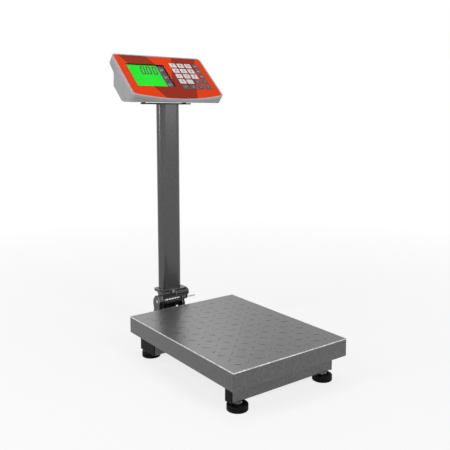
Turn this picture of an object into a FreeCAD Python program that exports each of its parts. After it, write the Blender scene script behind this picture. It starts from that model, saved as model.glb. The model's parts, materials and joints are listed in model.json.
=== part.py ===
"""Folding platform shipping scale: 300 x 400 mm platform, hinged mast and tilting indicator head.

Frame: millimetres, +X right, +Y to the back, +Z up. The origin is on the floor, under the centre
of the whole object's outline. Each function returns the solid or compound of one node.
"""
import FreeCAD, Part
import math
import os

V = FreeCAD.Vector

# Platform and frame
PLATFORM_WIDTH = 300.0
PLATFORM_LENGTH = 400.0
PLATFORM_TOP = 92.0
PLATFORM_Y = -63.63
SKIRT_HEIGHT = 37.0
SHEET = 1.5
CORNER_RADIUS = 3.0
FRAME_BOTTOM = 18.0
FRAME_TOP = 58.0
TUBE_WALL = 2.0
FRONT_TUBE_WIDTH = 20.0
FRONT_TUBE_Y = PLATFORM_Y - 163.0
REAR_TUBE_WIDTH = 60.0
REAR_TUBE_Y = PLATFORM_Y + 147.0
CROSS_TUBE_HALF = 131.5
SPINE_HALF = 35.0
JOINT_GAP = 0.1

# Weighing train
CELL_LENGTH = 150.0
CELL_WIDTH = 25.0
CELL_BOTTOM = 24.0
CELL_TOP = 64.0
SPIDER_BOTTOM = 68.0
SPIDER_TOP = 83.0
SPIDER_ARM_Y = 150.0
SPIDER_ARM_HALF = 125.0
SPIDER_ARM_WIDTH = 30.0
BUMPER_X = 108.0

# Feet
FOOT_X = 113.7
FOOT_Y = 165.0
PAD_RADIUS = 21.3
PAD_HEIGHT = 12.0
STUD_RADIUS = 5.0
STUD_CLEARANCE = 0.2
STUD_TOP = 34.0
NUT_ACROSS_FLATS = 17.0
NUT_HEIGHT = 4.6

# Hinge: the pivot axis runs along X
PIVOT_Y = PLATFORM_Y + 251.0
PIVOT_Z = PLATFORM_TOP + 3.5
ROD_RADIUS = 4.25
ROD_LEFT = -47.0
ROD_RIGHT = 66.0
COLLAR_FLATS = 13.0
FIT = 0.05
BASE_LEFT = -48.0
BASE_INNER_LEFT = -36.0
BASE_INNER_RIGHT = 24.0
BASE_RIGHT = 31.0
HINGE_FLOOR = 50.0
BARREL_RADIUS = 9.0
LUG_RIGHT = 41.0

# Mast
MAST_Y = PLATFORM_Y + 267.7
MAST_WIDTH = 60.0
MAST_DEPTH = 30.0
MAST_WALL = 2.0
MAST_BOTTOM = PLATFORM_TOP + 30.0
MAST_TOP = PLATFORM_TOP + 493.0
SPIGOT_GAP = 0.2

# Indicator head: local x to the right, local y up the face, local z out of the face
HEAD_Y = PLATFORM_Y + 261.3
HEAD_Z = PLATFORM_TOP + 563.0
FACE_SLOPE = 42.2
CASE_HALF = 127.0
CASE_TOP = 74.0
CASE_CORNER_BOTTOM = -73.5
CASE_BOW = 17.0
CASE_CORNER_RADIUS = 11.0
CASE_WALL = 2.5
RIM = 3.5
PARTING = -6.0
OVERLAY_THICKNESS = 0.5
TILT_Y = PLATFORM_Y + 284.0
TILT_Z = PLATFORM_TOP + 506.0
TILT_LUG_RADIUS = 7.0
EAR_INNER = 57.0
EAR_OUTER = 60.0
BRACKET_BOTTOM = MAST_TOP
BRACKET_THICKNESS = 3.0

# Keypad and display
KEY_COLUMNS = [21.2, 43.8, 66.4, 89.0]
KEY_TOPS = [47.9, 27.4, 6.9, -13.6, -34.1]
KEY_WIDTH = 18.0
KEY_HEIGHT = 15.8
KEY_GAP = 0.4
KEY_RISE = 0.4
KEY_NAMES = [
    ["key_7", "key_8", "key_9", "key_memory_1"],
    ["key_4", "key_5", "key_6", "key_memory_2"],
    ["key_1", "key_2", "key_3", "key_memory_3"],
    ["key_0", "key_point", "key_clear", "key_total"],
    ["key_tare", "key_zero", "key_unit_price", "key_backlight"],
]
DISPLAY_LEFT = -102.0
DISPLAY_RIGHT = 2.0
DISPLAY_BOTTOM = -42.5
DISPLAY_TOP = 40.0
BOARD_TOP = -8.0

# Back wall fittings
SWITCH_X = 86.0
ROCKER_PIVOT = (-12.5, -46.0)


def box(x0, x1, y0, y1, z0, z1):
    """Box between opposite corners."""
    return Part.makeBox(x1 - x0, y1 - y0, z1 - z0, V(x0, y0, z0))


def cylinder(radius, start, direction, length):
    """Solid cylinder from a start point along a direction."""
    return Part.makeCylinder(radius, length, V(*start), V(*direction))


def along_x(radius, y, z, x0, x1):
    """Solid cylinder parallel to X."""
    return cylinder(radius, (x0, y, z), (1, 0, 0), x1 - x0)


def upright(radius, x, y, z0, z1):
    """Solid cylinder parallel to Z."""
    return cylinder(radius, (x, y, z0), (0, 0, 1), z1 - z0)


def fused(shapes):
    """One solid from overlapping shapes."""
    result = shapes[0].fuse(shapes[1:])
    return result.removeSplitter()


def prism_x(points, x0, x1):
    """Prism with a (y, z) outline, from x0 to x1."""
    corners = [V(x0, y, z) for y, z in points]
    face = Part.Face(Part.makePolygon(corners + corners[:1]))
    return face.extrude(V(x1 - x0, 0, 0))


def around_pivot(points):
    """Turn (y, z) offsets from the pivot axis into row coordinates."""
    return [(PIVOT_Y + a, PIVOT_Z + b) for a, b in points]


def hexagon(across_flats, height):
    """Hexagonal prism standing on the origin."""
    radius = across_flats / math.sqrt(3.0)
    corners = [V(radius * math.cos(k * math.pi / 3), radius * math.sin(k * math.pi / 3), 0) for k in range(7)]
    return Part.Face(Part.makePolygon(corners)).extrude(V(0, 0, height))


def moved(shape, x, y, z):
    """Copy of a shape, shifted."""
    copy = shape.copy()
    copy.translate(V(x, y, z))
    return copy


def flat_oval(width, depth, z0, z1):
    """Upright column with half-round ends, centred on the mast axis."""
    radius = depth / 2
    reach = width / 2 - radius
    middle = box(-reach, reach, MAST_Y - radius, MAST_Y + radius, z0, z1)
    ends = [upright(radius, side * reach, MAST_Y, z0, z1) for side in (-1, 1)]
    return fused([middle] + ends)


def head_placed(shape):
    """Move a shape from the head's own frame to the row frame."""
    copy = shape.copy()
    copy.rotate(V(0, 0, 0), V(1, 0, 0), FACE_SLOPE)
    copy.translate(V(0, HEAD_Y, HEAD_Z))
    return copy


# ---------------------------------------------------------------- base frame

def cross_tube(y, width):
    """Rectangular tube across the frame, holed for the foot studs and the spine's bolts."""
    half = width / 2
    outer = box(-CROSS_TUBE_HALF, CROSS_TUBE_HALF, y - half, y + half, FRAME_BOTTOM, FRAME_TOP)
    outer = outer.makeFillet(2.5, [e for e in outer.Edges if abs(e.tangentAt(0).x) > 0.9])
    inner = box(
        -CROSS_TUBE_HALF, CROSS_TUBE_HALF, y - half + TUBE_WALL, y + half - TUBE_WALL,
        FRAME_BOTTOM + TUBE_WALL, FRAME_TOP - TUBE_WALL,
    )
    tube = outer.cut(inner)
    foot_y = PLATFORM_Y + math.copysign(FOOT_Y, y - PLATFORM_Y)
    for side in (-1, 1):
        hole = upright(STUD_RADIUS + STUD_CLEARANCE, side * FOOT_X, foot_y, 0, FRAME_BOTTOM + 2 * TUBE_WALL)
        tube = tube.cut(hole)
    return tube


def tube_end_caps():
    """Push-in plastic plugs at the four tube ends."""
    caps = []
    for y, width in ((FRONT_TUBE_Y, FRONT_TUBE_WIDTH), (REAR_TUBE_Y, REAR_TUBE_WIDTH)):
        half = width / 2
        for side in (-1, 1):
            face_in = side * (CROSS_TUBE_HALF + JOINT_GAP)
            face_out = side * (CROSS_TUBE_HALF + 3.0)
            x0, x1 = sorted((face_in, face_out))
            head = box(x0, x1, y - half, y + half, FRAME_BOTTOM, FRAME_TOP)
            plug_in = side * (CROSS_TUBE_HALF - 10.0)
            x0, x1 = sorted((plug_in, face_out))
            inset = TUBE_WALL + JOINT_GAP
            plug = box(
                x0, x1, y - half + inset, y + half - inset,
                FRAME_BOTTOM + inset, FRAME_TOP - inset,
            )
            caps.append(fused([head, plug]))
    return Part.makeCompound(caps)


def spine_channel():
    """U-channel that joins the two cross tubes and carries the load cell."""
    y0 = FRONT_TUBE_Y + FRONT_TUBE_WIDTH / 2 + JOINT_GAP
    y1 = REAR_TUBE_Y - REAR_TUBE_WIDTH / 2 - JOINT_GAP
    outer = box(-SPINE_HALF, SPINE_HALF, y0, y1, FRAME_BOTTOM, FRAME_TOP)
    wall = 3.0
    inner = box(-SPINE_HALF + wall, SPINE_HALF - wall, y0, y1, CELL_BOTTOM - 4.0, FRAME_TOP)
    channel = outer.cut(inner)
    for y in (PLATFORM_Y + 45.0, PLATFORM_Y + 65.0):
        channel = channel.cut(upright(4.3, 0, y, 0, CELL_BOTTOM))
    return channel


def load_cell():
    """Single-point load cell: a block with the binocular hole that lets it bend."""
    y0 = PLATFORM_Y - CELL_LENGTH / 2
    y1 = PLATFORM_Y + CELL_LENGTH / 2
    half = CELL_WIDTH / 2
    block = box(-half, half, y0, y1, CELL_BOTTOM, CELL_TOP)
    middle = (CELL_BOTTOM + CELL_TOP) / 2
    slot = box(-half, half, PLATFORM_Y - 18, PLATFORM_Y + 18, middle - 6, middle + 6)
    holes = [along_x(12.0, PLATFORM_Y + side * 18, middle, -half, half) for side in (-1, 1)]
    block = block.cut(fused([slot] + holes))
    for side in (-1, 1):
        for offset in (45.0, 65.0):
            y = PLATFORM_Y + side * offset
            if side > 0:
                block = block.cut(upright(4.1, 0, y, CELL_BOTTOM, CELL_BOTTOM + 16))
            else:
                block = block.cut(upright(4.1, 0, y, CELL_TOP - 16, CELL_TOP))
    return block


def cell_spacers():
    """Spacer plates: lower one at the back of the cell, upper one at its front."""
    lower = box(-20, 20, PLATFORM_Y + 35, PLATFORM_Y + 75, CELL_BOTTOM - 4 + JOINT_GAP, CELL_BOTTOM)
    upper = box(-20, 20, PLATFORM_Y - 75, PLATFORM_Y - 35, CELL_TOP, SPIDER_BOTTOM - JOINT_GAP)
    for offset in (45.0, 65.0):
        lower = lower.cut(upright(4.3, 0, PLATFORM_Y + offset, 0, CELL_TOP))
        upper = upper.cut(upright(4.3, 0, PLATFORM_Y - offset, CELL_TOP - 1, PLATFORM_TOP))
    return Part.makeCompound([lower, upper])


def cell_bolts():
    """Four bolts: two up through the spine into the cell, two down through the spider."""
    bolts = []
    for offset in (45.0, 65.0):
        shank = upright(3.9, 0, PLATFORM_Y + offset, FRAME_BOTTOM - 5.0, CELL_BOTTOM + 14)
        head = moved(hexagon(13.0, 5.0), 0, PLATFORM_Y + offset, FRAME_BOTTOM - 5.1)
        bolts.append(fused([shank, head]))
        shank = upright(3.9, 0, PLATFORM_Y - offset, CELL_TOP - 14, SPIDER_TOP + 2)
        head = moved(hexagon(13.0, 5.0), 0, PLATFORM_Y - offset, SPIDER_TOP + 0.1)
        bolts.append(fused([shank, head]))
    return Part.makeCompound(bolts)


def pan_spider():
    """H-shaped carrier that spreads the platform's load to the cell."""
    arms = []
    for side in (-1, 1):
        y = PLATFORM_Y + side * SPIDER_ARM_Y
        half = SPIDER_ARM_WIDTH / 2
        arms.append(box(-SPIDER_ARM_HALF, SPIDER_ARM_HALF, y - half, y + half, SPIDER_BOTTOM, SPIDER_TOP))
    back = box(-32, 32, PLATFORM_Y - SPIDER_ARM_Y, PLATFORM_Y + SPIDER_ARM_Y, SPIDER_BOTTOM, SPIDER_TOP)
    spider = fused(arms + [back])
    for offset in (45.0, 65.0):
        spider = spider.cut(upright(4.3, 0, PLATFORM_Y - offset, SPIDER_BOTTOM, SPIDER_TOP))
    return spider


def pan_bumpers():
    """Rubber buttons between the spider and the platform."""
    pan_underside = PLATFORM_TOP - SHEET
    bumpers = []
    for side_x in (-1, 1):
        for side_y in (-1, 1):
            x = side_x * BUMPER_X
            y = PLATFORM_Y + side_y * SPIDER_ARM_Y
            bumpers.append(upright(11.0, x, y, SPIDER_TOP, pan_underside - JOINT_GAP))
    return Part.makeCompound(bumpers)


def platform_pan():
    """Folded sheet tray, open underneath, that lifts off the bumpers."""
    half_x = PLATFORM_WIDTH / 2
    half_y = PLATFORM_LENGTH / 2
    z0 = PLATFORM_TOP - SKIRT_HEIGHT
    outer = box(-half_x, half_x, PLATFORM_Y - half_y, PLATFORM_Y + half_y, z0, PLATFORM_TOP)
    outer = outer.makeFillet(CORNER_RADIUS, [e for e in outer.Edges if abs(e.tangentAt(0).z) > 0.9])
    top_edges = [e for e in outer.Edges if e.BoundBox.ZMin > PLATFORM_TOP - 0.01]
    outer = outer.makeFillet(SHEET, top_edges)
    inner = box(
        -half_x + SHEET, half_x - SHEET, PLATFORM_Y - half_y + SHEET, PLATFORM_Y + half_y - SHEET,
        z0, PLATFORM_TOP - SHEET,
    )
    return outer.cut(inner)


# ---------------------------------------------------------------- feet

def foot_position(index):
    """Centre of one foot, counted front left, front right, back left, back right."""
    x = FOOT_X if index % 2 else -FOOT_X
    y = PLATFORM_Y + (FOOT_Y if index > 1 else -FOOT_Y)
    return x, y


def foot_pad(index):
    """Rubber-faced pad with a ribbed rim, a ring groove and a socket for the stud's ball end."""
    x, y = foot_position(index)
    pad = upright(PAD_RADIUS, x, y, 0, PAD_HEIGHT)
    pad = pad.makeFillet(1.2, [e for e in pad.Edges if e.BoundBox.XLength > PAD_RADIUS])
    neck = upright(10.0, x, y, PAD_HEIGHT - 4.0, PAD_HEIGHT)
    moat = upright(15.0, x, y, PAD_HEIGHT - 3.0, PAD_HEIGHT + 1).cut(neck)
    socket = upright(7.0 + STUD_CLEARANCE, x, y, PAD_HEIGHT - 7.0, PAD_HEIGHT + 1)
    pad = pad.cut(moat).cut(socket)
    ribs = 36
    notch = upright(0.7, x + PAD_RADIUS, y, 2.5, PAD_HEIGHT - 2.5)
    notches = []
    for k in range(ribs):
        copy = notch.copy()
        copy.rotate(V(x, y, 0), V(0, 0, 1), k * 360.0 / ribs)
        notches.append(copy)
    return pad.cut(Part.makeCompound(notches))


def foot_stud(index):
    """Threaded stud, drawn as a plain bar, with the round head that sits in the pad."""
    x, y = foot_position(index)
    bar = upright(STUD_RADIUS, x, y, PAD_HEIGHT - 6.0, STUD_TOP)
    head = upright(7.0, x, y, PAD_HEIGHT - 7.0 + STUD_CLEARANCE, PAD_HEIGHT + 0.6)
    return fused([bar, head])


def foot_lock_nuts():
    """Hexagon nuts that jam each stud against the frame."""
    nuts = []
    for index in range(4):
        x, y = foot_position(index)
        nut = moved(hexagon(NUT_ACROSS_FLATS, NUT_HEIGHT), x, y, FRAME_BOTTOM - NUT_HEIGHT)
        nuts.append(nut.cut(upright(STUD_RADIUS + STUD_CLEARANCE, x, y, 0, FRAME_TOP)))
    return Part.makeCompound(nuts)


# ---------------------------------------------------------------- mast hinge

def mast_bracket():
    """Channel behind the rear tube, closed by a flange, that carries the hinge."""
    y0 = REAR_TUBE_Y + REAR_TUBE_WIDTH / 2 + JOINT_GAP
    flange = box(-55, 55, y0, y0 + 4, FRAME_BOTTOM + 1, HINGE_FLOOR)
    arm = box(-33, 33, y0, PIVOT_Y + 41, FRAME_BOTTOM + 1, HINGE_FLOOR)
    hollow = box(-30, 30, y0 + 4, PIVOT_Y + 38, FRAME_BOTTOM + 1, HINGE_FLOOR - 3)
    bracket = fused([flange, arm]).cut(hollow)
    for x in (-44.0, 44.0):
        bracket = bracket.cut(cylinder(4.3, (x, y0 - 1, 35), (0, 1, 0), 6))
    for x, y in hinge_bolt_places():
        bracket = bracket.cut(upright(3.3, x, y, HINGE_FLOOR - 4, HINGE_FLOOR))
    return bracket


def hinge_bolt_places():
    """Centres of the four bolts that hold the hinge down."""
    return [(x, PIVOT_Y + a) for x in (-25.0, 13.0) for a in (3.0, 15.0)]


def bracket_bolts():
    """Two bolts through the flange and four through the hinge's floor."""
    y0 = REAR_TUBE_Y + REAR_TUBE_WIDTH / 2 + JOINT_GAP
    bolts = []
    for x in (-44.0, 44.0):
        head = hexagon(13.0, 5.3)
        head.rotate(V(0, 0, 0), V(1, 0, 0), -90)
        shank = cylinder(3.9, (x, y0 + 0.05, 35), (0, 1, 0), 6)
        bolts.append(fused([moved(head, x, y0 + 4.1, 35), shank]))
    for x, y in hinge_bolt_places():
        head = upright(5.0, x, y, HINGE_FLOOR + 6.1, HINGE_FLOOR + 9.5)
        shank = upright(3.0, x, y, HINGE_FLOOR - 8, HINGE_FLOOR + 7)
        bolts.append(fused([head, shank]))
    return Part.makeCompound(bolts)


def hinge_base():
    """Cast foot of the hinge: floor, front wall, stop block and two cheeks with the pivot bores."""
    floor_z = HINGE_FLOOR - PIVOT_Z
    floor = prism_x(
        around_pivot([(-9, floor_z), (40, floor_z), (40, floor_z + 6), (-9, floor_z + 6)]),
        BASE_LEFT, BASE_RIGHT,
    )
    front = prism_x(around_pivot([(-9, floor_z), (-4, floor_z), (-4, -25), (-9, -25)]), BASE_LEFT, BASE_RIGHT)
    stop = prism_x(
        around_pivot([(22, floor_z), (38, floor_z), (34, 18.2), (24, 18.2)]),
        -22, 23,
    )
    stop_arm = prism_x(around_pivot([(23, -28), (36, -28), (34, 18.2), (24, 18.2)]), 22, BASE_RIGHT)
    left = prism_x(
        around_pivot([
            (-9, floor_z), (22, floor_z), (14, -20), (17.5, -8), (17, 2), (8, 13.5), (-2, 17), (-8, 13),
            (-12.5, 2), (-11.5, -9),
        ]),
        BASE_LEFT, BASE_INNER_LEFT,
    )
    right_plate = prism_x(
        around_pivot([(-7.5, floor_z), (24, floor_z), (12, -14), (7.5, 0), (-5, -2), (-5, -8), (-7.5, -12)]),
        BASE_INNER_RIGHT, BASE_RIGHT,
    )
    right_eye = along_x(7.5, PIVOT_Y, PIVOT_Z, BASE_INNER_RIGHT, BASE_RIGHT)
    base = fused([floor, front, stop, stop_arm, left, right_plate, right_eye])
    base = base.cut(along_x(ROD_RADIUS + FIT, PIVOT_Y, PIVOT_Z, BASE_LEFT - 1, BASE_RIGHT + 1))
    recess = hexagon(COLLAR_FLATS + 0.4, 2.0)
    recess.rotate(V(0, 0, 0), V(0, 1, 0), -90)
    base = base.cut(moved(recess, BASE_INNER_LEFT, PIVOT_Y, PIVOT_Z))
    for x, y in hinge_bolt_places():
        base = base.cut(upright(3.3, x, y, HINGE_FLOOR - 1, HINGE_FLOOR + 7))
    return base


def hinge_head():
    """Cast foot of the mast: flange, windowed knuckle, round barrel, outer lug and spigot."""
    inner_left = BASE_INNER_LEFT + 0.5
    inner_right = BASE_INNER_RIGHT - 0.5
    flange = prism_x(around_pivot([(-8, 18.5), (35, 18.5), (35, 26.5), (-8, 26.5)]), -34.0, 36.0)
    swept_corner = Part.makePolygon([
        V(x, PIVOT_Y + y, PIVOT_Z + 18) for x, y in ((-36, -9), (-13, -9), (-26, 0), (-36, 14), (-36, -9))
    ])
    flange = flange.cut(Part.Face(swept_corner).extrude(V(0, 0, 10)))
    knuckle = prism_x(
        around_pivot([(-8, 19), (-8, -6), (-5, -9.5), (5, -9.5), (8, -6), (10, 8), (18, 19)]),
        inner_left, inner_right,
    )
    barrel = along_x(BARREL_RADIUS, PIVOT_Y - 2, PIVOT_Z + 13.5, 3.0, LUG_RIGHT)
    lug = prism_x(
        around_pivot([(-7, 14), (-6.5, 0), (-4.5, -5), (0, -6.5), (4.5, -5), (6.5, 0), (7, 19), (-6, 19)]),
        BASE_RIGHT + 0.5, LUG_RIGHT - 1.5,
    )
    casting = fused([flange, knuckle, barrel, lug])
    window = prism_x(around_pivot([(-9, -2.5), (6, -4), (6, 6.8), (-9, 6.8)]), inner_left + 6.5, inner_right - 5.5)
    spring_room = along_x(6.3, PIVOT_Y, PIVOT_Z, inner_left + 6.5, inner_right - 5.5)
    eye_room = along_x(8.0, PIVOT_Y, PIVOT_Z, inner_right, BASE_RIGHT + 0.5)
    casting = casting.cut(window).cut(spring_room).cut(eye_room)
    casting = casting.cut(along_x(ROD_RADIUS + FIT, PIVOT_Y, PIVOT_Z, inner_left + 1, LUG_RIGHT + 1))
    casting = casting.cut(along_x(6.0, PIVOT_Y - 2, PIVOT_Z + 13.5, LUG_RIGHT - 5, LUG_RIGHT + 1))
    key_way = hexagon(COLLAR_FLATS + 0.4, 16.0)
    key_way.rotate(V(0, 0, 0), V(0, 1, 0), 90)
    casting = casting.cut(moved(key_way, inner_left - 1, PIVOT_Y, PIVOT_Z))
    spigot = flat_oval(MAST_WIDTH - 2 * MAST_WALL - 2 * SPIGOT_GAP, MAST_DEPTH - 2 * MAST_WALL - 2 * SPIGOT_GAP,
                       MAST_BOTTOM - 1, MAST_BOTTOM + 40)
    casting = fused([casting, spigot])
    for z in mast_bolt_heights():
        casting = casting.cut(cylinder(3.0, (0, MAST_Y, z), (0, 1, 0), 20))
    return casting.cut(cylinder(2.4, (-5, PIVOT_Y - 9, PIVOT_Z + 22), (0, 1, 0), 9))


def mast_bolt_heights():
    """Heights of the two bolts that hold the mast on its spigot."""
    return [MAST_BOTTOM + 12.0, MAST_BOTTOM + 28.0]


def hinge_head_bolts():
    """Two button-head screws behind the mast and the set screw in front."""
    back = MAST_Y + MAST_DEPTH / 2
    screws = []
    for z in mast_bolt_heights():
        shank = cylinder(2.9, (0, MAST_Y + 3, z), (0, 1, 0), back - MAST_Y)
        head = cylinder(5.2, (0, back + 0.1, z), (0, 1, 0), 3.0)
        screws.append(fused([shank, head]))
    shank = cylinder(2.3, (-5, PIVOT_Y - 8.5, PIVOT_Z + 22), (0, 1, 0), 7)
    head = cylinder(4.2, (-5, PIVOT_Y - 10.6, PIVOT_Z + 22), (0, 1, 0), 2.5)
    screws.append(fused([shank, head]))
    return Part.makeCompound(screws)


def lock_rod():
    """Spring-loaded pull rod on the pivot axis, with the hexagonal lock collar."""
    rod = along_x(ROD_RADIUS, PIVOT_Y, PIVOT_Z, ROD_LEFT, ROD_RIGHT)
    rod = rod.makeChamfer(1.0, [e for e in rod.Edges if e.BoundBox.XLength < 0.1])
    collar = hexagon(COLLAR_FLATS, 5.5)
    collar.rotate(V(0, 0, 0), V(0, 1, 0), 90)
    return fused([rod, moved(collar, BASE_INNER_LEFT + 0.6, PIVOT_Y, PIVOT_Z)])


def lock_spring():
    """Compression spring between the lock collar and the knuckle's right wall."""
    start = BASE_INNER_LEFT + 0.6 + 5.5 + 0.9
    end = BASE_INNER_RIGHT - 0.5 - 5.5 - 0.9
    turns = 6
    wire_radius = 0.85
    coil_radius = ROD_RADIUS + 1.0
    length = end - start
    helix = Part.Wire(Part.makeHelix(length / turns, length, coil_radius).Edges)
    profile = Part.Wire([Part.makeCircle(wire_radius, V(coil_radius, 0, 0), V(0, 1, 0))])
    coil = helix.makePipeShell([profile], True, True)
    coil.rotate(V(0, 0, 0), V(0, 1, 0), 90)
    return moved(coil, start, PIVOT_Y, PIVOT_Z)


def mast_tube():
    """Flat-oval steel tube."""
    outer = flat_oval(MAST_WIDTH, MAST_DEPTH, MAST_BOTTOM, MAST_TOP)
    inner = flat_oval(MAST_WIDTH - 2 * MAST_WALL, MAST_DEPTH - 2 * MAST_WALL, MAST_BOTTOM, MAST_TOP)
    tube = outer.cut(inner)
    for z in mast_bolt_heights():
        tube = tube.cut(cylinder(3.0, (0, MAST_Y, z), (0, 1, 0), MAST_DEPTH))
    return tube


def head_bracket():
    """Plate on the mast's top, with a plug into the tube and two ears for the head's tilt bolts."""
    top = BRACKET_BOTTOM + BRACKET_THICKNESS
    front = PLATFORM_Y + 254.0
    back = PLATFORM_Y + 296.0
    plate = box(-EAR_OUTER, EAR_OUTER, front, back, BRACKET_BOTTOM, top)
    plug = flat_oval(
        MAST_WIDTH - 2 * MAST_WALL - 2 * SPIGOT_GAP, MAST_DEPTH - 2 * MAST_WALL - 2 * SPIGOT_GAP,
        BRACKET_BOTTOM - 35, top,
    )
    parts = [plate, plug]
    for side in (-1, 1):
        x0, x1 = sorted((side * EAR_INNER, side * EAR_OUTER))
        parts.append(box(x0, x1, TILT_Y - 8, TILT_Y + 8, BRACKET_BOTTOM, TILT_Z))
        parts.append(along_x(8.0, TILT_Y, TILT_Z, x0, x1))
    bracket = fused(parts)
    return bracket.cut(along_x(3.06, TILT_Y, TILT_Z, -EAR_OUTER - 1, EAR_OUTER + 1))


# ---------------------------------------------------------------- indicator head

def face_outline(inset):
    """Wire of the face: straight top and sides, bowed bottom, all moved in by an inset."""
    half = CASE_HALF - inset
    top = CASE_TOP - inset
    bottom = CASE_CORNER_BOTTOM + inset
    middle = CASE_CORNER_BOTTOM - CASE_BOW + inset
    arc = Part.Arc(V(-half, bottom, 0), V(0, middle, 0), V(half, bottom, 0)).toShape()
    right = Part.makeLine(V(half, bottom, 0), V(half, top, 0))
    upper = Part.makeLine(V(half, top, 0), V(-half, top, 0))
    left = Part.makeLine(V(-half, top, 0), V(-half, bottom, 0))
    return Part.Wire([arc, right, upper, left])


def face_prism(inset, z0, z1, radius=CASE_CORNER_RADIUS):
    """Solid with the face's outline and rounded corners, from depth z0 to z1."""
    solid = Part.Face(face_outline(inset)).extrude(V(0, 0, z1 - z0))
    solid.translate(V(0, 0, z0))
    corners = [e for e in solid.Edges if abs(e.tangentAt(e.FirstParameter).z) > 0.9]
    return solid.makeFillet(radius - min(inset, 6.0), corners)


def side_profile(inset):
    """Prism whose (y, z) outline is the case seen from its side, moved in by an inset."""
    bottom = CASE_CORNER_BOTTOM - CASE_BOW
    points = [
        (CASE_TOP, 5), (CASE_TOP, -16), (70, -21), (35, -25), (27, -32), (22, -40), (15, -49),
        (-38, -49), (-50, -43), (-75, -22), (bottom, -6), (bottom, 5),
    ]
    wire = Part.makePolygon([V(-CASE_HALF, y, z) for y, z in points + points[:1]])
    if inset:
        wire = wire.makeOffset2D(-inset, 2)
    solid = Part.Face(wire).extrude(V(2 * CASE_HALF, 0, 0))
    return solid


def case_volume(inset):
    """The head's whole outer shape, moved in by an inset."""
    return face_prism(inset, -60.0, 0.0).common(side_profile(inset))


def in_front_of(depth):
    """Large box that holds everything outside a depth of the face."""
    return box(-200, 200, -200, 200, depth, 100)


def tilt_pivot_local():
    """The tilt axis in the head's own (y, z)."""
    slope = math.radians(FACE_SLOPE)
    dy = TILT_Y - HEAD_Y
    dz = TILT_Z - HEAD_Z
    return dy * math.cos(slope) + dz * math.sin(slope), dz * math.cos(slope) - dy * math.sin(slope)


def rear_case():
    """Moulded rear shell with two tilt lugs and the openings for switch and charging socket."""
    outer = case_volume(0.0).cut(in_front_of(PARTING - JOINT_GAP))
    lug_y, lug_z = tilt_pivot_local()
    lugs = []
    for side in (-1, 1):
        x0, x1 = sorted((side * 46.0, side * 56.5))
        lugs.append(along_x(TILT_LUG_RADIUS, lug_y, lug_z, x0, x1))
        lugs.append(box(x0, x1, lug_y - TILT_LUG_RADIUS, lug_y + TILT_LUG_RADIUS, lug_z, -47.0))
    shell = fused([outer] + lugs).cut(case_volume(CASE_WALL))
    shell = shell.cut(box(SWITCH_X - 10.5, SWITCH_X + 10.5, ROCKER_PIVOT[0] - 7.5, ROCKER_PIVOT[0] + 7.5, -60, -40))
    shell = shell.cut(cylinder(5.6, (-85, -12, -60), (0, 0, 1), 20))
    shell = shell.cut(along_x(2.55, lug_y, lug_z, -60, 60))
    for x, y, seat in case_screw_places():
        post = cylinder(5.2, (x, y, -60.0), (0, 0, 1), 60.0 + PARTING - 0.5)
        shell = shell.fuse(post.common(case_volume(0.0)))
        shell = shell.cut(cylinder(1.6, (x, y, -60.0), (0, 0, 1), 60.0))
        shell = shell.cut(cylinder(3.6, (x, y, -60.0), (0, 0, 1), 60.0 + seat))
    return shell.removeSplitter()


def case_screw_places():
    """Centre and seat depth of the four screws that hold the bezel to the rear case."""
    return [(x, y, seat) for x in (-116.0, 116.0) for y, seat in ((62.0, -17.0), (-66.0, -24.0))]


def case_screws():
    """Four self-tapping screws, sunk in their posts from behind."""
    screws = []
    for x, y, seat in case_screw_places():
        head = cylinder(3.2, (x, y, seat - 2.4), (0, 0, 1), 2.35)
        shank = cylinder(1.5, (x, y, seat - 1.0), (0, 0, 1), PARTING + 3.0 - seat)
        screws.append(head_placed(fused([head, shank])))
    return Part.makeCompound(screws)


def front_bezel():
    """Front frame with a raised rim, the display window and the keypad aperture."""
    outer = face_prism(0.0, PARTING, 0.8).common(side_profile(0.0))
    recess = face_prism(RIM, -OVERLAY_THICKNESS - JOINT_GAP, 2.0)
    hollow = face_prism(CASE_WALL, PARTING - 1, -3.0)
    frame = outer.cut(recess).cut(hollow)
    frame = frame.cut(box(DISPLAY_LEFT, DISPLAY_RIGHT, DISPLAY_BOTTOM, DISPLAY_TOP, -10, 1))
    pad_right = KEY_COLUMNS[-1] + KEY_WIDTH + 2.5
    pad_bottom = KEY_TOPS[-1] - KEY_HEIGHT - 2.5
    frame = frame.cut(box(KEY_COLUMNS[0] - 2.5, pad_right, pad_bottom, KEY_TOPS[0] + 2.5, -10, 1))
    bosses = []
    for x, y, _ in case_screw_places():
        bosses.append(cylinder(3.5, (x, y, PARTING + 0.2), (0, 0, 1), 3.5))
    frame = fused([frame] + bosses)
    for x, y, _ in case_screw_places():
        frame = frame.cut(cylinder(1.6, (x, y, PARTING), (0, 0, 1), 2.2))
    return frame


def face_overlay():
    """Printed front sheet with the display cut-out and one window per key."""
    sheet = face_prism(RIM + JOINT_GAP, -OVERLAY_THICKNESS, 0.0)
    sheet = sheet.cut(box(DISPLAY_LEFT, DISPLAY_RIGHT, DISPLAY_BOTTOM, DISPLAY_TOP, -1, 1))
    windows = []
    for left in KEY_COLUMNS:
        for top in KEY_TOPS:
            windows.append(box(
                left - KEY_GAP, left + KEY_WIDTH + KEY_GAP, top - KEY_HEIGHT - KEY_GAP, top + KEY_GAP, -1, 1,
            ))
    return sheet.cut(Part.makeCompound(windows))


def lcd_window():
    """Clear pane in the display cut-out."""
    gap = JOINT_GAP
    return box(DISPLAY_LEFT + gap, DISPLAY_RIGHT - gap, DISPLAY_BOTTOM + gap, DISPLAY_TOP - gap, -2.4, -0.2)


def lcd_panel():
    """Backlit display module behind the pane."""
    return box(DISPLAY_LEFT + 0.5, DISPLAY_RIGHT - 0.5, DISPLAY_BOTTOM + 0.5, DISPLAY_TOP - 0.5, -7.4, -2.8)


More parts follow.
